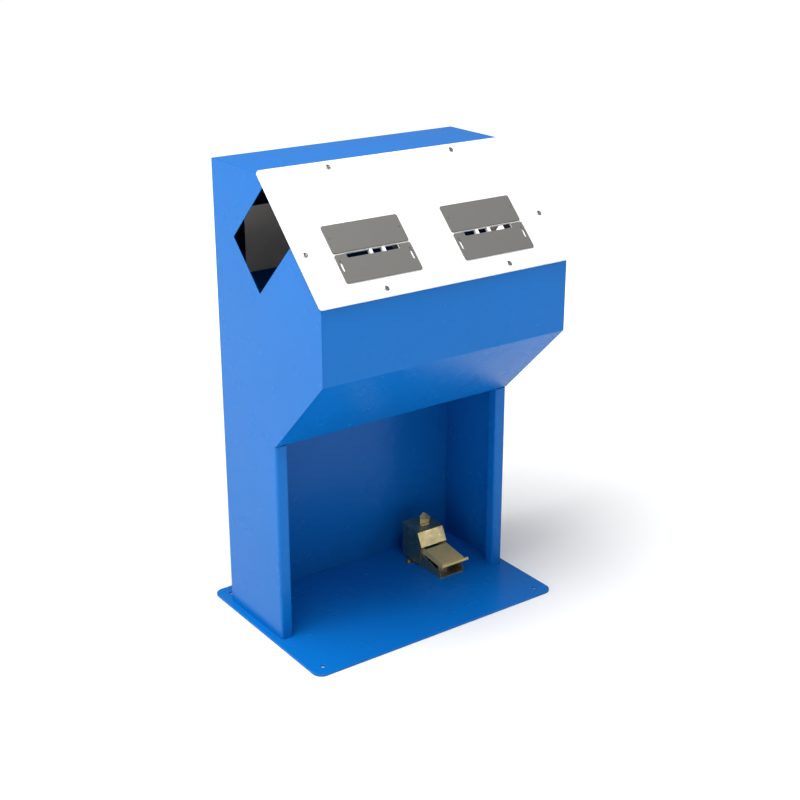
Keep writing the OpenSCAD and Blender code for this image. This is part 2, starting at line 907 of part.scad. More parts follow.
module pedal_fittings() {
    z = base_thick + valve_sheet;
    color(dark) in_valve() for (i = [-1, 1]) {
        translate([i * 9, plunger_y + 11, z + 10]) rotate([-90, 0, 0]) difference() {
            union() {
                cylinder(r = 4, h = 8);
                translate([0, 0, 7]) cylinder(r = 6, h = 13);
            }
            translate([0, 0, 10]) cylinder(r = 3, h = 12);
        }
    }
}

module pedal_screws() {
    half = pedal_base_width / 2;
    color(steel) in_valve() for (i = [-1, 1]) {
        translate([i * (half + 11), ear_screw_y, base_thick]) difference() {
            union() {
                cylinder(r = 3, h = valve_sheet);
                translate([0, 0, valve_sheet]) cylinder(r = 5.5, h = 4);
            }
            translate([0, 0, valve_sheet + 1.5]) cylinder(d = 5.8, h = 4, $fn = 6);
        }
    }
}

base_plate();
left_side_panel();
right_side_panel();
back_panel();
top_cover();
front_hood();
compartment_shelf();
left_panel_rail();
right_panel_rail();
front_panel();
panel_screws();
left_upper_plate();
right_upper_plate();
left_lower_plate();
right_lower_plate();
plate_rivets();
left_slot_guide();
right_slot_guide();
left_unit_frame();
right_unit_frame();
left_blade();
right_blade();
left_blade_block();
right_blade_block();
left_piston_rod();
right_piston_rod();
left_air_cylinder();
right_air_cylinder();
left_drive_roller();
right_drive_roller();
left_pinch_roller();
right_pinch_roller();
left_roll_spindle();
right_roll_spindle();
left_ticket_rolls();
right_ticket_rolls();
right_ticket_strip();
rear_door();
hinge_leaves();
hinge_pins();
door_knob();
air_inlet();
valve_manifold();
manifold_fittings();
hose_grommet();
pedal_base();
pedal_hood();
pedal_plate();
pedal_pin();
valve_body();
valve_plunger();
return_spring();
pedal_fittings();
pedal_screws();
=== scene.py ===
import json
import math

import bmesh
import bpy
import numpy as np
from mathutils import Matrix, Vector


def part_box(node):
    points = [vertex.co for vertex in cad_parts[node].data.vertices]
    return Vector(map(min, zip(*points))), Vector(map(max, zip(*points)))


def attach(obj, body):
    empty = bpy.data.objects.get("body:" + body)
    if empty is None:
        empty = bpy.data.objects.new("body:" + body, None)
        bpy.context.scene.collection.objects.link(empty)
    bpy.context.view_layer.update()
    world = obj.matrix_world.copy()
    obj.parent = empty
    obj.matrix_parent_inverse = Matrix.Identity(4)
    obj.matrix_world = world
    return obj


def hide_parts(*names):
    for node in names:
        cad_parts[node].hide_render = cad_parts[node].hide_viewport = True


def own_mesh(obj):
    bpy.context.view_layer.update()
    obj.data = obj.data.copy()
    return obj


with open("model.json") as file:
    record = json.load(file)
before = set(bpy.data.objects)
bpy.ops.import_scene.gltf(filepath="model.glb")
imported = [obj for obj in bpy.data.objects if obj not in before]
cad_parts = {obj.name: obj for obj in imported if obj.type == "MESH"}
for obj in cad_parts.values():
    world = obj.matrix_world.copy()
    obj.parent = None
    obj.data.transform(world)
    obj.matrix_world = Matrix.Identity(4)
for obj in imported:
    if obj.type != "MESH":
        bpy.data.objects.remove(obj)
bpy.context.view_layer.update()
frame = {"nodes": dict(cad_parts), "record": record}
nodeBodies = {n: b for b, members in frame["record"]["behaviour"]["bodies"].items() for n in members}
nodeSlots = {row["node"]: row["material_slot"] for row in frame["record"]["subparts"]}
print("stage 1: the machine's frame is in, with", len(nodeBodies), "CAD nodes")

mm = 0.001

view = {"place": (-1881.7, -2695.3, 1810.1), "yaw": 35.685, "pitch": -21.055, "lens": 63.19, "sensor": 36.0}


def makeCamera(v):
    # looking direction = (sin yaw cos pitch, cos yaw cos pitch, sin pitch)
    yaw, pitch = math.radians(v["yaw"]), math.radians(v["pitch"])
    look = Vector((math.sin(yaw) * math.cos(pitch), math.cos(yaw) * math.cos(pitch), math.sin(pitch)))
    camera = bpy.data.objects.new("camera", bpy.data.cameras.new("camera"))
    bpy.context.scene.collection.objects.link(camera)
    camera.location = Vector(v["place"]) * mm
    camera.rotation_mode = "QUATERNION"
    camera.rotation_quaternion = look.to_track_quat("-Z", "Y")
    camera.data.lens, camera.data.sensor_width = v["lens"], v["sensor"]
    camera.data.clip_start, camera.data.clip_end = 0.05, 60.0
    bpy.context.scene.camera = camera


makeCamera(view)


# builds one material's nodes, with short calls for the kinds used here
class Nodes:
    def __init__(self, name):
        self.material = bpy.data.materials.new(name)
        self.material.use_nodes = True
        self.tree = self.material.node_tree
        self.shader = self.tree.nodes["Principled BSDF"]
        self.coords = self.tree.nodes.new("ShaderNodeTexCoord").outputs["Object"]

    def add(self, kind, inputs=None, **settings):
        node = self.tree.nodes.new(kind)
        for key, value in settings.items():
            setattr(node, key, value)
        for key, value in (inputs or {}).items():
            if isinstance(value, bpy.types.NodeSocket):
                self.tree.links.new(value, node.inputs[key])
            else:
                node.inputs[key].default_value = value
        return node

    def noise(self, scale, detail=3.0, rough=0.5, vector=None):
        return self.add("ShaderNodeTexNoise", {"Vector": vector or self.coords, "Scale": scale,
                                               "Detail": detail, "Roughness": rough}).outputs["Fac"]

    def remap(self, value, low, high, newLow, newHigh):
        return self.add("ShaderNodeMapRange", {"Value": value, "From Min": low, "From Max": high,
                                               "To Min": newLow, "To Max": newHigh}).outputs["Result"]

    def mix(self, factor, first, second, blend="MIX"):
        node = self.add("ShaderNodeMix", {0: factor}, data_type="RGBA", blend_type=blend)
        for slot, value in ((6, first), (7, second)):
            if isinstance(value, bpy.types.NodeSocket):
                self.tree.links.new(value, node.inputs[slot])
            else:
                node.inputs[slot].default_value = (*value[:3], 1.0)
        return node.outputs[2]

    def math(self, operation, first, second=0.0):
        node = self.add("ShaderNodeMath", operation=operation)
        for slot, value in ((0, first), (1, second)):
            if isinstance(value, bpy.types.NodeSocket):
                self.tree.links.new(value, node.inputs[slot])
            else:
                node.inputs[slot].default_value = value
        return node.outputs[0]

    def toned(self, colour, tone):
        grey = self.add("ShaderNodeCombineXYZ", {0: tone, 1: tone, 2: tone}).outputs[0]
        return self.mix(1.0, colour, grey, "MULTIPLY")

    def stretched(self, scale):
        return self.add("ShaderNodeMapping", {"Vector": self.coords, "Scale": scale}).outputs["Vector"]

    def bump(self, height, strength, distance, before=None):
        inputs = {"Height": height, "Strength": strength, "Distance": distance}
        if before is not None:
            inputs["Normal"] = before
        return self.add("ShaderNodeBump", inputs).outputs["Normal"]

    def set(self, **values):
        for key, value in values.items():
            socket = self.shader.inputs[key.replace("_", " ")]
            if isinstance(value, bpy.types.NodeSocket):
                self.tree.links.new(value, socket)
            else:
                socket.default_value = value
        return self.material


# sizes in metres that place the painted shade inside the head's upper half, and the heights over which it fades in
interiorShadeZone = {"skin": 0.0012, "flange": 0.025, "from": 0.83, "full": 0.93, "sideGap": 0.0001}


# rises to 1 behind the outer sheets of the head's upper half, where the shade is painted in: the product of one
# test for each side of the folded shape, where the two sloped sides compare y - z and y + z with the same sums on
# their outer faces
def interiorShadeMask(n, p=interiorShadeZone):
    (_, front, underside), (halfWidth, hoodBack, _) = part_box("front_hood")
    (_, slopeLow, _), (_, _, top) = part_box("top_cover")
    back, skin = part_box("back_panel")[1][1], p["skin"]
    slope = slopeLow + p["flange"] * math.sqrt(0.5) - top
    under = hoodBack - p["flange"] + underside
    place = n.add("ShaderNodeSeparateXYZ", {0: n.coords})
    x, y, z = (place.outputs[k] for k in range(3))
    tests = [("LESS_THAN", n.math("ABSOLUTE", x), halfWidth + p["sideGap"]),
             ("LESS_THAN", z, top - skin),
             ("GREATER_THAN", y, front + skin),
             ("LESS_THAN", y, back - skin),
             ("GREATER_THAN", n.math("ADD", y, z), under + skin * math.sqrt(2)),
             ("GREATER_THAN", n.math("SUBTRACT", y, z), slope + skin * math.sqrt(2))]
    inside = n.remap(z, p["from"], p["full"], 0.0, 1.0)
    for test in tests:
        inside = n.math("MULTIPLY", n.math(*test), inside)
    return inside


# baked powder: a faint orange peel, cloudy gloss and a trace of colour drift; inside the head a near-black painted
# shade replaces the coat
def powderCoat(name, colour, rough, peel, spread=0.035, shadeColour=None):
    n = Nodes(name)
    drift = n.remap(n.noise(3.0, 4.0), 0.0, 1.0, 1.0 - 2 * spread, 1.0 + 2 * spread)
    fine = n.remap(n.noise(420.0, 2.0), 0.0, 1.0, 0.97, 1.03)
    tone = n.math("MULTIPLY", drift, fine)
    # inside the head the coat gives way to a near-black colour: painted shade standing in for the dark interior
    coat = n.mix(interiorShadeMask(n), colour, shadeColour) if shadeColour else colour
    base = n.toned(coat, tone)
    gloss = n.remap(n.noise(14.0, 4.0, 0.5), 0.0, 1.0, rough - 0.06, rough + 0.06)
    hills = n.bump(n.noise(150.0, 1.0, 0.3), peel, 0.0003)
    return n.set(Base_Color=base, Roughness=gloss, Normal=hills, IOR=1.5, Specular_IOR_Level=0.16)


# metal with a fine directional grain, slight stains and uneven gloss
def brushedMetal(name, colour, rough, along=(1, 1, 1), grain=0.15, spots=0.0):
    n = Nodes(name)
    lines = n.noise(60.0, 6.0, 0.7, n.stretched(along))
    stain = n.noise(18.0, 4.0)
    tone = n.remap(lines, 0.25, 0.75, 1.0 - grain, 1.0 + grain * 0.5)
    dark = tuple(c * (1 - spots) for c in colour)
    base = n.toned(n.mix(n.remap(stain, 0.45, 0.7, 0.0, 1.0), colour, dark), tone)
    gloss = n.remap(lines, 0.2, 0.8, rough - 0.06, rough + 0.08)
    return n.set(Base_Color=base, Roughness=gloss, Metallic=1.0, Normal=n.bump(lines, 0.12, 0.0002))


# yellow passivation: gold that drifts to green and pink in soft clouds, with a rolled-sheet grain
def yellowZinc(name, gold, green, pink, rough, shine=0.94):
    n = Nodes(name)
    clouds = n.noise(34.0, 3.0, 0.6)
    patches = n.noise(90.0, 4.0, 0.6)
    base = n.mix(n.remap(clouds, 0.42, 0.72, 0.0, 0.75), gold, green)
    base = n.mix(n.remap(patches, 0.55, 0.8, 0.0, 0.5), base, pink)
    grain = n.noise(160.0, 5.0, 0.7, n.stretched((0.15, 1.0, 1.0)))
    tone = n.remap(grain, 0.3, 0.7, 0.9, 1.06)
    base = n.toned(base, tone)
    gloss = n.remap(patches, 0.3, 0.75, rough - 0.05, rough + 0.1)
    return n.set(Base_Color=base, Metallic=shine, Roughness=gloss, Normal=n.bump(grain, 0.1, 0.0002))


# fine spark-eroded grain on a dark moulding
def mouldedPlastic(name, colour, rough):
    n = Nodes(name)
    grain = n.noise(900.0, 2.0)
    base = n.mix(n.remap(n.noise(25.0), 0.3, 0.7, 0.0, 1.0), colour, tuple(c * 1.35 for c in colour))
    return n.set(Base_Color=base, Roughness=n.remap(grain, 0.3, 0.7, rough - 0.05, rough + 0.05),
                 Normal=n.bump(grain, 0.25, 0.0001))


# matt rubber with ground texture and a dusty bloom
def rubber(name, colour):
    n = Nodes(name)
    bloom = n.noise(40.0, 5.0)
    base = n.mix(n.remap(bloom, 0.45, 0.8, 0.0, 0.5), colour, tuple(c * 2.2 + 0.01 for c in colour))
    return n.set(Base_Color=base, Roughness=n.remap(bloom, 0.3, 0.7, 0.62, 0.8),
                 Normal=n.bump(n.noise(700.0, 4.0), 0.3, 0.0002))


# paper rolls: fine wound layers read from the noise across the roll, with soft creases
def woundPaper(name, colour, edge):
    n = Nodes(name)
    layers = n.noise(600.0, 2.0, 0.5, n.stretched((0.02, 1.0, 1.0)))
    base = n.mix(n.remap(layers, 0.35, 0.7, 0.0, 1.0), colour, edge)
    return n.set(Base_Color=base, Roughness=0.82, Normal=n.bump(layers, 0.3, 0.0002))


finishes = {
    # the blue coat's last colour is the near-black painted shade for the inside of the head
    "blue_paint": powderCoat("bluePowder", (0.0025, 0.140, 0.485), 0.26, 0.03, shadeColour=(0.006, 0.010, 0.020)),
    "white_paint": powderCoat("whitePowder", (0.80, 0.80, 0.80), 0.42, 0.03, 0.01),
    "grey_paint": powderCoat("greyCoat", (0.134, 0.130, 0.124), 0.55, 0.06, 0.02),
    "light_paint": powderCoat("lightCoat", (0.74, 0.69, 0.63), 0.5, 0.05, 0.12),
    "steel": brushedMetal("zincSteel", (0.46, 0.47, 0.48), 0.34, (1, 1, 0.2), 0.2, 0.3),
    "dark_steel": brushedMetal("blackenedSteel", (0.05, 0.05, 0.055), 0.5, (1, 1, 1), 0.2, 0.3),
    "aluminium": brushedMetal("anodised", (0.55, 0.56, 0.58), 0.42, (0.2, 1, 1), 0.1, 0.1),
    "black_rubber": rubber("rollerRubber", (0.012, 0.012, 0.013)),
    "black_plastic": mouldedPlastic("blackMoulding", (0.014, 0.014, 0.016), 0.5),
    "ticket_paper": woundPaper("ticketPaper", (0.80, 0.77, 0.68), (0.66, 0.62, 0.54)),
    "brass": brushedMetal("turnedBrass", (0.62, 0.44, 0.18), 0.3, (1, 1, 1), 0.1, 0.1),
    "yellow_zinc": yellowZinc("yellowZinc", (0.60, 0.50, 0.27), (0.42, 0.42, 0.20), (0.62, 0.42, 0.34), 0.30),
}
print("stage 2:", len(finishes), "finishes are ready")


def newPiece(name, mesh, body, slot, replaces=()):
    piece = bpy.data.objects.new(name, mesh)
    bpy.context.scene.collection.objects.link(piece)
    mesh.materials.clear()
    mesh.materials.append(finishes[slot])
    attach(piece, body)
    if replaces:
        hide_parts(*replaces)
    return piece


def smoothMesh(mesh, angle):
    mesh.shade_smooth()
    mesh.set_sharp_from_angle(angle=math.radians(angle))


# the node's own shape, merged and cleaned, with every edge rounded to a small radius
def softCopy(node, width, segments=2, angle=32.0):
    mesh = frame["nodes"][node].data.copy()
    mesh.name = node + "Soft"
    work = bmesh.new()
    work.from_mesh(mesh)
    bmesh.ops.remove_doubles(work, verts=work.verts, dist=2e-6)
    bmesh.ops.dissolve_limit(work, angle_limit=math.radians(0.6), verts=work.verts, edges=work.edges,
                             use_dissolve_boundaries=False)
    work.to_mesh(mesh)
    work.free()
    smoothMesh(mesh, angle)
    piece = newPiece(node + "_soft", mesh, nodeBodies[node], nodeSlots[node], (node,))
    bevel = piece.modifiers.new("edges", "BEVEL")
    bevel.width, bevel.segments = width * mm, segments
    bevel.limit_method, bevel.angle_limit = "ANGLE", math.radians(angle)
    bevel.harden_normals = True
    return piece


def gridFaces(rows, columns, closeRows=False, closeColumns=False):
    # corners of each cell, as whole arrays
    i = np.arange(rows if closeRows else rows - 1)[:, None]
    j = np.arange(columns if closeColumns else columns - 1)[None, :]
    a = i * columns + j
    b = i * columns + (j + 1) % columns
    c = ((i + 1) % rows) * columns + (j + 1) % columns
    d = ((i + 1) % rows) * columns + j
    return np.stack(np.broadcast_arrays(a, b, c, d), -1).reshape(-1, 4)


def meshFrom(name, points, faces, smooth=30.0):
    mesh = bpy.data.meshes.new(name)
    mesh.from_pydata(points.reshape(-1, 3).tolist(), [], faces.tolist())
    work = bmesh.new()
    work.from_mesh(mesh)
    bmesh.ops.remove_doubles(work, verts=work.verts, dist=1e-6)
    bmesh.ops.recalc_face_normals(work, faces=work.faces)
    work.to_mesh(mesh)
    work.free()
    smoothMesh(mesh, smooth)
    return mesh


# each inner corner becomes an arc: P(t) = centre + r (cos t, sin t), tangent to both of its legs
def roundedPath(corners, radius, steps=7):
    corners = np.asarray(corners, float)
    out = [corners[:1]]
    for before, at, after in zip(corners[:-2], corners[1:-1], corners[2:]):
        u, v = (before - at) / np.linalg.norm(before - at), (after - at) / np.linalg.norm(after - at)
        half = math.acos(np.clip(u @ v, -1, 1)) / 2
        centre = at + (u + v) / np.linalg.norm(u + v) * radius / math.sin(half)
        start, end = at + u * radius / math.tan(half), at + v * radius / math.tan(half)
        t = np.linspace(0, 1, steps)[:, None]
        sweep = math.pi - 2 * half
        first, last = start - centre, end - centre
        out.append(centre + (np.sin((1 - t) * sweep) * first + np.sin(t * sweep) * last) / math.sin(sweep))
    out.append(corners[-1:])
    return np.vstack(out)


# s(i, x) = path(i) on the outer face and path(i) + thickness * normal(i) on the inner, carried from x0 to x1;
# the normal is the path's own direction turned a quarter
def foldedSheet(corners, radius, thickness, x0, x1):
    outer = roundedPath(corners, radius)
    step = np.gradient(outer, axis=0)
    step /= np.linalg.norm(step, axis=1, keepdims=True)
    normal = np.stack([-step[:, 1], step[:, 0]], -1)
    inner = outer + normal * thickness
    loop = np.vstack([outer, inner[::-1]])
    n, m = len(loop), len(outer)
    points = np.zeros((2, n, 3))
    points[..., 1:] = loop
    points[0, :, 0], points[1, :, 0] = x0, x1
    k = np.arange(m - 1)
    cap = np.stack([k, k + 1, n - 2 - k, n - 1 - k], -1)
    faces = np.vstack([gridFaces(2, n, False, True), cap, cap[:, ::-1] + n])
    return points * mm, faces


def millimetres(node):
    low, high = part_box(node)
    return np.array(low) / mm, np.array(high) / mm


hood = {"bend": 3.0, "sheet": 2.0, "flange": 25.0}
hoodLow, hoodHigh = millimetres("front_hood")
coverLow, coverHigh = millimetres("top_cover")
headFront, underZ = hoodLow[1], hoodLow[2]
flangeDrop = hood["flange"] * math.sqrt(0.5)
fasciaTop = hoodHigh[2] - flangeDrop
legFront = hoodHigh[1] - hood["flange"]
fasciaBottom = underZ + (legFront - headFront)


# the front sheet: from the slope's flange down the upright front, in under the head and back over the legs
def makeHood():
    corners = [(headFront + flangeDrop, fasciaTop + flangeDrop), (headFront, fasciaTop),
               (headFront, fasciaBottom), (legFront, underZ), (legFront + hood["flange"], underZ)]
    points, faces = foldedSheet(corners, hood["bend"], hood["sheet"], hoodLow[0], hoodHigh[0])
    return newPiece("hoodSheet", meshFrom("hoodSheet", points, faces), "cabinet", "blue_paint", ("front_hood",))


makeHood()


# the top sheet: from the back forward to the slope's edge, then a flange down the slope
def makeCover():
    slopeY = coverLow[1] + flangeDrop
    corners = [(coverHigh[1], coverHigh[2]), (slopeY, coverHigh[2]), (coverLow[1], coverHigh[2] - flangeDrop)]
    points, faces = foldedSheet(corners, hood["bend"], hood["sheet"], coverLow[0], coverHigh[0])
    return newPiece("coverSheet", meshFrom("coverSheet", points, faces), "cabinet", "blue_paint", ("top_cover",))


makeCover()
print("stage 3: the folded hood and cover are in")

roundedEdges = {
    "base_plate": 1.0, "left_side_panel": 0.7, "right_side_panel": 0.7, "back_panel": 0.5,
    "front_panel": 1.0, "left_upper_plate": 0.5, "right_upper_plate": 0.5,
    "left_lower_plate": 0.5, "right_lower_plate": 0.5, "left_slot_guide": 0.4, "right_slot_guide": 0.4,
    "rear_door": 0.6, "hinge_leaves": 0.4, "hinge_pins": 0.4, "plate_rivets": 0.3, "pedal_screws": 0.5,
    "pedal_base": 0.7, "pedal_hood": 0.9, "pedal_plate": 0.7, "valve_body": 0.8, "valve_plunger": 0.4,
    "compartment_shelf": 0.5, "left_panel_rail": 0.5, "right_panel_rail": 0.5, "left_unit_frame": 0.4,
    "right_unit_frame": 0.4, "left_blade": 0.2, "right_blade": 0.2, "left_blade_block": 0.6,
    "right_blade_block": 0.6, "valve_manifold": 0.8, "right_ticket_strip": 0.1,
}
softPieces = {nodeName: softCopy(nodeName, edge) for nodeName, edge in roundedEdges.items()}
treadZinc = {"gold": (0.84, 0.64, 0.26), "green": (0.64, 0.58, 0.20), "pink": (0.80, 0.54, 0.30), "rough": 0.42,
             "shine": 0.40}
softPieces["pedal_plate"].data.materials[0] = yellowZinc("treadZinc", *treadZinc.values())
print("stage 4:", len(roundedEdges), "plain parts have rounded edges")


# a turned part: P(i, a) = origin + axis * along(i) + radius(i) * (u cos a + v sin a), with a once round the axis
def turned(profile, origin, axis, around=40, swell=None):
    profile = np.asarray(profile, float)
    closed = bool(np.allclose(profile[0], profile[-1]))
    profile = profile[:-1] if closed else profile
    axis = np.asarray(axis, float) / np.linalg.norm(axis)
    side = np.array([1.0, 0.0, 0.0]) if abs(axis[0]) < 0.9 else np.array([0.0, 0.0, 1.0])
    u = side - axis * (side @ axis)
    u /= np.linalg.norm(u)
    v = np.cross(axis, u)
    a = np.linspace(0, 2 * math.pi, around, endpoint=False)
    radius = profile[:, 1, None] * np.ones(around)
    if swell is not None:
        radius = radius * swell(profile[:, 0, None], radius, a[None, :])
    ring = u * np.cos(a)[:, None] + v * np.sin(a)[:, None]
    points = np.asarray(origin, float) + axis * profile[:, 0, None, None] + radius[..., None] * ring
    return points.reshape(-1, 3), gridFaces(len(profile), around, closed, True)


# several shells become one mesh: each shell's faces are counted on from the points before it
def turnedPiece(node, shells, smooth=30.0):
    starts = np.cumsum([0] + [len(points) for points, faces in shells[:-1]])
    points = np.vstack([shell[0] for shell in shells]) * mm
    faces = np.vstack([shell[1] + start for shell, start in zip(shells, starts)])
    name = node + "_turned"
    return newPiece(name, meshFrom(name, points, faces, smooth), nodeBodies[node], nodeSlots[node], (node,))


def middle(node):
    low, high = millimetres(node)
    return (low + high) / 2


# a hexagon in place of a circle: the radius grows by 1 / cos of the angle from the nearest flat's middle
def hexagonal(chosen):
    def swell(along, radius, a):
        flat = 1 / np.cos((a + math.pi / 6) % (math.pi / 3) - math.pi / 6)
        return np.where(chosen(along, radius), flat, 1.0)
    return swell


diagonal = math.sqrt(0.5)
slopeTop = (coverLow[1] + flangeDrop, coverHigh[2])
slopeLength = (slopeTop[1] - fasciaTop) / diagonal
downSlope, outOfSlope = np.array([0, -diagonal, -diagonal]), np.array([0, -diagonal, diagonal])


# a point from its place across, its distance down the sloped face and its height out of it
def onSlope(x, down, out):
    return np.array([x, *slopeTop]) + downSlope * down + outOfSlope * out


panelScrews = {"rowX": 175.0, "rowInset": 12.5, "edgeX": 332.5, "edgeDown": 222.0, "panel": 5.0, "depth": 8.0,
               "shank": 4.0, "head": 7.0, "height": 2.2, "crown": 2.6, "socket": 2.5, "socketDepth": 1.5}


# screw: a shank, a low dome of height * sin(t) over head - crown * (1 - cos t), and a six-sided socket
def makePanelScrews(p):
    top, floor = p["panel"] + p["height"], p["panel"] + p["height"] - p["socketDepth"]
    t = np.linspace(0.15, math.pi / 2, 7)
    dome = zip(p["panel"] + p["height"] * np.sin(t), p["head"] - p["crown"] * (1 - np.cos(t)))
    profile = [(-p["depth"], 0), (-p["depth"], p["shank"] - 0.6), (0.6 - p["depth"], p["shank"]),
               (p["panel"], p["shank"]), (p["panel"], p["head"]), *dome, (top, p["socket"] + 0.75),
               (top - 0.2, p["socket"] + 0.3), (floor, p["socket"]), (floor, 0)]
    inSocket = hexagonal(lambda along, radius: (radius < p["socket"] + 0.5) & (along > p["panel"] * 0.9))
    rows = (p["rowInset"], slopeLength - p["rowInset"])
    spots = [(side * p["rowX"], down) for side in (-1, 1) for down in rows]
    spots += [(side * p["edgeX"], p["edgeDown"]) for side in (-1, 1)]
    return turnedPiece("panel_screws", [turned(profile, onSlope(x, down, 0), outOfSlope, 48, inSocket)
                                        for x, down in spots])


makePanelScrews(panelScrews)

rollers = {"shaft": 4.0, "shoulder": 10.0, "grooves": 11, "grooveDepth": 0.7, "grooveWidth": 0.9, "edge": 1.2}


# roller: radius(x) = full - depth * exp(-(distance to the nearest groove / width)^2) between round shoulders
def makeRollers(p):
    for node in ("left_drive_roller", "left_pinch_roller", "right_drive_roller", "right_pinch_roller"):
        low, high = millimetres(node)
        full = (high[1] - low[1]) / 2
        x0, x1 = low[0] + p["shoulder"], high[0] - p["shoulder"]
        x = np.linspace(x0 + p["edge"], x1 - p["edge"], 8 * p["grooves"] + 1)
        pitch = (x1 - x0) / p["grooves"]
        radius = full - p["grooveDepth"] * np.exp(-(((x - x0) % pitch - pitch / 2) / p["grooveWidth"]) ** 2)
        profile = [(low[0], 0), (low[0], p["shaft"] - 0.5), (low[0] + 0.5, p["shaft"]), (x0, p["shaft"]),
                   (x0, full - p["edge"]), *zip(x, radius), (x1, full - p["edge"]), (x1, p["shaft"]),
                   (high[0] - 0.5, p["shaft"]), (high[0], p["shaft"] - 0.5), (high[0], 0)]
        centre = middle(node)
        turnedPiece(node, [turned(profile, (0, centre[1], centre[2]), (1, 0, 0), 48)])


makeRollers(rollers)

spindles = {"shaft": 6.0, "hub": 12.5, "shoulder": 10.0, "flutes": 12, "fluteDepth": 0.06}


# spindle: the hub's radius * (1 - depth * (1 + cos(flutes * a)) / 2), between plain shaft ends
def makeSpindles(p):
    def fluted(along, radius, a):
        return np.where(radius > p["shaft"] + 1, 1 - p["fluteDepth"] * (1 + np.cos(p["flutes"] * a)) / 2, 1.0)

    for node in ("left_roll_spindle", "right_roll_spindle"):
        low, high = millimetres(node)
        x0, x1 = low[0] + p["shoulder"], high[0] - p["shoulder"]
        path = roundedPath([(low[0], 0), (low[0], p["shaft"]), (x0, p["shaft"]), (x0, p["hub"]), (x1, p["hub"]),
                            (x1, p["shaft"]), (high[0], p["shaft"]), (high[0], 0)], 0.8, 4)
        centre = middle(node)
        turnedPiece(node, [turned(path, (0, centre[1], centre[2]), (1, 0, 0), 96, fluted)])


makeSpindles(spindles)

paperRolls = {"bore": 12.5, "full": 50.0, "station": 164.0, "turns": 34, "ripple": 0.12,
              "left_ticket_rolls": ((-70.5, -9.0), (1.0, 26.0), (36.0, 70.5)),
              "right_ticket_rolls": ((-40.0, -9.0), (1.0, 26.0), (36.0, 70.5))}


# paper roll: a ring whose flat faces ripple inwards by ripple * (1 + sin(2 pi * turns * part of the radius))
def makePaperRolls(p):
    part = np.linspace(0, 1, 6 * p["turns"] + 1)
    radius = p["bore"] + (p["full"] - p["bore"] - 0.5) * part
    wave = p["ripple"] * (1 + np.sin(2 * math.pi * p["turns"] * part))
    for node, side in (("left_ticket_rolls", -1), ("right_ticket_rolls", 1)):
        centre = middle(node)
        shells = []
        for lane in p[node]:
            x0, x1 = sorted(side * (p["station"] - edge) for edge in lane)
            profile = [*zip(x0 + wave, radius), (x0 + 0.5, p["full"]), (x1 - 0.5, p["full"]),
                       *zip((x1 - wave)[::-1], radius[::-1]), (x0 + wave[0], radius[0])]
            shells.append(turned(profile, (0, centre[1], centre[2]), (1, 0, 0), 72))
        turnedPiece(node, shells, 60.0)


makePaperRolls(paperRolls)

airCylinders = {"radius": 12.0, "nose": 7.0, "noseLength": 5.0, "cap": 7.0, "waist": 11.2, "rodBore": 4.2,
                "pistonBore": 9.2, "wall": 2.0, "start": 305.0, "length": 47.0, "depth": 20.0}
pistons = {"rod": 4.0, "piston": 9.0, "groove": 8.2, "start": 298.0, "shoulder": 338.0, "end": 346.0}


# cylinder: end caps, a thinner tube and a nose, carried on round the end of the nose into the bore
def makeCylinders(p, q):
    end, cap, nose = p["length"], p["cap"], p["noseLength"]
    outside = [(end - p["wall"], 0), (end - p["wall"], p["pistonBore"]), (nose + p["wall"], p["pistonBore"]),
               (nose + p["wall"], p["rodBore"]), (0, p["rodBore"]), (0, p["nose"]), (nose, p["nose"]),
               (nose, p["radius"]), (nose + cap, p["radius"]), (nose + cap, p["waist"]), (end - cap, p["waist"]),
               (end - cap, p["radius"]), (end, p["radius"]), (end, 0)]
    rod = [(q["start"], 0), (q["start"], q["rod"]), (q["shoulder"], q["rod"]), (q["shoulder"], q["piston"]),
           (q["shoulder"] + 3, q["piston"]), (q["shoulder"] + 3, q["groove"]), (q["shoulder"] + 5, q["groove"]),
           (q["shoulder"] + 5, q["piston"]), (q["end"], q["piston"]), (q["end"], 0)]
    for side in ("left", "right"):
        x = middle(side + "_air_cylinder")[0]
        turnedPiece(side + "_air_cylinder", [turned(roundedPath(outside, 0.35, 4),
                                                    onSlope(x, p["start"], -p["depth"]), downSlope, 48)])
        turnedPiece(side + "_piston_rod", [turned(roundedPath(rod, 0.35, 4), onSlope(x, 0, -p["depth"]),
                                                  downSlope, 40)])


makeCylinders(airCylinders, pistons)
print("stage 5: the turned parts of both stations are in")

knob = {"stem": 5.0, "head": 11.0, "headLength": 8.0, "flutes": 18, "fluteDepth": 0.05}


# knob: a stem, then a head whose radius falls by depth * (1 + cos(flutes * a)) / 2 in shallow finger grooves
def makeKnob(p):
    low, high = millimetres("door_knob")
    centre = (low + high) / 2
    path = [(low[1], 0), (low[1], p["stem"]), (high[1] - p["headLength"], p["stem"]),
            (high[1] - p["headLength"], p["head"]), (high[1], p["head"]), (high[1], 0)]

    def fluted(along, radius, a):
        return np.where(radius > p["head"] - 0.8, 1 - p["fluteDepth"] * (1 + np.cos(p["flutes"] * a)) / 2, 1.0)

    return turnedPiece("door_knob", [turned(roundedPath(path, 1.2, 5), (centre[0], 0, centre[2]), (0, 1, 0),
                                            108, fluted)])


makeKnob(knob)

inlet = {"thread": 7.0, "pitch": 1.25, "threadDepth": 0.55, "flat": 9.52, "nuts": ((179.0, 185.0), (187.0, 193.0)),
         "bore": 4.1, "boreFrom": 195.0}


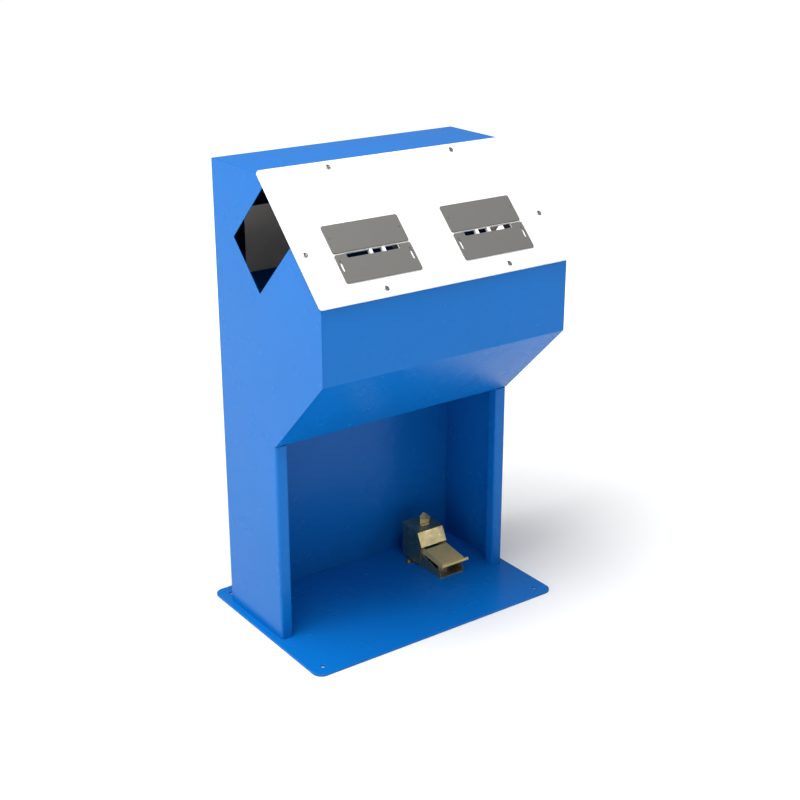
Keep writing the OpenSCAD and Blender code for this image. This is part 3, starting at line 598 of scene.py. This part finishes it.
# bulkhead inlet: thread radius = outer - depth * (1 + cos(2 pi * along / pitch)) / 2, two six-sided nuts, a bore
def makeInlet(p):
    low, high = millimetres("air_inlet")
    centre = (low + high) / 2

    def thread(y):
        return p["thread"] - p["threadDepth"] * (1 + np.cos(2 * math.pi * y / p["pitch"])) / 2

    profile = [(low[1], 0)]
    start = low[1]
    for first, last in p["nuts"]:
        y = np.arange(start + 0.05, first, p["pitch"] / 6)
        profile += [*zip(y, thread(y)), (first, p["thread"] - 0.3), (first, p["flat"] - 0.7),
                    (first + 0.6, p["flat"]), (last - 0.6, p["flat"]), (last, p["flat"] - 0.7),
                    (last, p["thread"] - 0.3)]
        start = last
    y = np.arange(start + 0.05, high[1] - 0.4, p["pitch"] / 6)
    profile += [*zip(y, thread(y)), (high[1], p["thread"] - 0.8), (high[1], p["bore"] + 0.4),
                (high[1] - 0.4, p["bore"]), (p["boreFrom"], p["bore"]), (p["boreFrom"], 0)]
    nuts = hexagonal(lambda along, radius: radius > p["thread"] + 0.5)
    return turnedPiece("air_inlet", [turned(profile, (centre[0], 0, centre[2]), (0, 1, 0), 72, nuts)])


makeInlet(inlet)

fittings = {"xs": (-42.0, -14.0, 14.0, 42.0), "body": 7.0, "bore": 4.0, "collar": 5.4, "collarLength": 2.5}


# push-in fitting: a body with a waist, then a thinner release ring round the hose's bore
def makeManifoldFittings(p):
    low, high = millimetres("manifold_fittings")
    y = (low[1] + high[1]) / 2
    top = high[2] - p["collarLength"]
    path = [(low[2], p["bore"]), (low[2], p["body"]), (low[2] + 5, p["body"]), (low[2] + 5, p["body"] - 0.6),
            (low[2] + 7, p["body"] - 0.6), (low[2] + 7, p["body"]), (top, p["body"]), (top, p["collar"]),
            (high[2], p["collar"]), (high[2], p["bore"]), (low[2], p["bore"])]
    loop = roundedPath(path, 0.25, 4)
    return turnedPiece("manifold_fittings", [turned(loop, (x, y, 0), (0, 0, 1), 48) for x in p["xs"]])


makeManifoldFittings(fittings)

pedalPin = {"radius": 4.0, "chamfer": 0.5}


# pin: a plain shaft with chamfered ends and a clip's groove cut near each of them
def makePedalPin(p):
    low, high = millimetres("pedal_pin")
    r, c = p["radius"], p["chamfer"]
    groove = [(low[0] + 2, r), (low[0] + 2.3, r - 0.5), (low[0] + 3.1, r - 0.5), (low[0] + 3.4, r)]
    profile = [(low[0], 0), (low[0], r - c), (low[0] + c, r), *groove,
               *[(low[0] + high[0] - x, radius) for x, radius in groove[::-1]],
               (high[0] - c, r), (high[0], r - c), (high[0], 0)]
    centre = (low + high) / 2
    return turnedPiece("pedal_pin", [turned(profile, (0, centre[1], centre[2]), (1, 0, 0), 40)])


makePedalPin(pedalPin)

grommet = {"hole": 8.0, "neck": 15.0, "flange": 18.0, "sheet": 2.0, "bead": 0.9}


# grommet: one closed ring, flange, neck and flange again, with every corner a bead of its own radius
def makeGrommet(p):
    low, high = millimetres("hose_grommet")
    centre = (low + high) / 2
    lip = (high[2] - low[2] - p["sheet"]) / 2
    path = [(low[2] + 1, p["hole"]), (low[2], p["hole"]), (low[2], p["flange"]), (low[2] + lip, p["flange"]),
            (low[2] + lip, p["neck"]), (high[2] - lip, p["neck"]), (high[2] - lip, p["flange"]),
            (high[2], p["flange"]), (high[2], p["hole"]), (low[2] + 1, p["hole"])]
    return turnedPiece("hose_grommet", [turned(roundedPath(path, p["bead"], 5), (centre[0], centre[1], 0),
                                               (0, 0, 1), 64)])


makeGrommet(grommet)

coil = {"radius": 6.2, "wire": 0.8, "turns": 4.0, "around": 12, "perTurn": 40, "keep": 0.443}


# spring: C(t) = (R cos, R sin)(2 pi * turns * t), climbing evenly between a level half turn at each end,
# and each point of the wire is C + w (outward cos b + normal sin b)
def makeSpring(p):
    low, high = millimetres("return_spring")
    centre = (low + high) / 2
    t = np.linspace(0, 1, int(p["turns"] * p["perTurn"]) + 1)
    turn = 2 * math.pi * p["turns"] * t
    climb = np.clip((t * p["turns"] - 0.5) / (p["turns"] - 1), 0, 1)
    z = low[2] + p["wire"] + (high[2] - low[2] - 2 * p["wire"]) * climb
    line = np.stack([centre[0] + p["radius"] * np.cos(turn), centre[1] + p["radius"] * np.sin(turn), z], -1)
    ahead = np.gradient(line, axis=0)
    ahead /= np.linalg.norm(ahead, axis=1, keepdims=True)
    outward = np.stack([np.cos(turn), np.sin(turn), 0 * turn], -1)
    normal = np.cross(ahead, outward)
    b = np.linspace(0, 2 * math.pi, p["around"], endpoint=False)[None, :, None]
    rows = np.concatenate([[0], np.arange(len(t)), [len(t) - 1]])
    size = np.full(len(rows), p["wire"])
    size[[0, -1]] = 0
    wire = outward[rows, None] * np.cos(b) + normal[rows, None] * np.sin(b)
    points = line[rows, None] + size[:, None, None] * wire
    mesh = meshFrom("springCoil", points * mm, gridFaces(len(rows), p["around"], False, True), 60.0)
    piece = newPiece("return_spring_coil", mesh, nodeBodies["return_spring"], nodeSlots["return_spring"],
                     ("return_spring",))
    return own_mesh(piece)


makeSpring(coil)

pedalFittings = {"xs": (-9.0, 9.0), "bore": 3.0, "thread": 4.0, "body": 6.0, "collar": 4.6, "threadLength": 6.0,
                 "collarLength": 2.5}


# hose fitting of the foot valve: a short threaded end, a body and a thinner release ring round the bore
def makePedalFittings(p):
    low, high = millimetres("pedal_fittings")
    centre = (low + high) / 2
    y0, y1, collar = low[1], high[1], high[1] - p["collarLength"]
    path = [(y0, p["bore"]), (y0, p["thread"]), (y0 + p["threadLength"], p["thread"]),
            (y0 + p["threadLength"], p["body"]), (collar, p["body"]), (collar, p["collar"]),
            (y1, p["collar"]), (y1, p["bore"]), (y0, p["bore"])]
    loop = roundedPath(path, 0.25, 4)
    return turnedPiece("pedal_fittings", [turned(loop, (centre[0] + x, 0, centre[2]), (0, 1, 0), 40)
                                          for x in p["xs"]])


makePedalFittings(pedalFittings)
print("stage 6: the knob, the air parts, the pins and the spring are in")

for nodeName, nodeObject in frame["nodes"].items():
    nodeObject.data.materials.clear()
    nodeObject.data.materials.append(finishes[nodeSlots[nodeName]])


studio = {
    "floor": 90.0, "floorHeight": -0.0005, "floorColour": (0.76, 0.76, 0.76),
    "glow": (0.16, 0.82), "glowReach": (0.3, 3.0), "world": 0.26,
    "lamps": {
        "topLeft": {"place": (-1.3, -0.4, 4.3), "aim": (0.0, 0.0, 0.7), "size": (2.4, 2.4), "power": 205.0},
        "topFront": {"place": (-0.6, -2.6, 3.4), "aim": (0.0, -0.1, 0.8), "size": (2.0, 1.6), "power": 30.0},
        "leftSide": {"place": (-3.7, -0.3, 1.4), "aim": (0.0, 0.0, 0.4), "size": (2.6, 2.2), "power": 46.0},
        "rightFront": {"place": (2.6, -3.6, 1.9), "aim": (0.2, 0.0, 0.2), "size": (0.9, 0.9), "power": 9.0},
    },
}


# the floor glows more and more with the distance from the machine, so that it stays pale to its horizon
def makeFloor(s):
    corners = s["floor"] / 2 * np.array([[-1, -1], [1, -1], [1, 1], [-1, 1]])
    points = np.column_stack([corners, np.full(4, s["floorHeight"])])
    floorMesh = bpy.data.meshes.new("floor")
    floorMesh.from_pydata(points.tolist(), [], [[0, 1, 2, 3]])
    floor = bpy.data.objects.new("floor", floorMesh)
    bpy.context.scene.collection.objects.link(floor)
    n = Nodes("paleFloor")
    away = n.add("ShaderNodeVectorMath", {0: n.coords}, operation="LENGTH").outputs["Value"]
    glow = n.remap(away, *s["glowReach"], *s["glow"])
    n.set(Base_Color=(*s["floorColour"], 1.0), Roughness=0.95, Emission_Color=(1.0, 1.0, 1.0, 1.0),
          Emission_Strength=glow)
    floorMesh.materials.append(n.material)


def makeStudio(s):
    makeFloor(s)
    world = bpy.data.worlds.new("studio")
    world.use_nodes = True
    world.node_tree.nodes["Background"].inputs["Color"].default_value = (1, 1, 1, 1)
    world.node_tree.nodes["Background"].inputs["Strength"].default_value = s["world"]
    bpy.context.scene.world = world
    for name, lamp in s["lamps"].items():
        light = bpy.data.lights.new(name, "AREA")
        light.shape, light.energy = "RECTANGLE", lamp["power"]
        light.size, light.size_y = lamp["size"]
        holder = bpy.data.objects.new(name, light)
        bpy.context.scene.collection.objects.link(holder)
        holder.location = lamp["place"]
        holder.rotation_mode = "QUATERNION"
        holder.rotation_quaternion = (Vector(lamp["aim"]) - Vector(lamp["place"])).to_track_quat("-Z", "Y")
    settings = bpy.context.scene.view_settings
    settings.view_transform, settings.look, settings.exposure, settings.gamma = "Standard", "None", 0.0, 1.0


makeStudio(studio)
print("stage 7: floor, world and lamps are set")
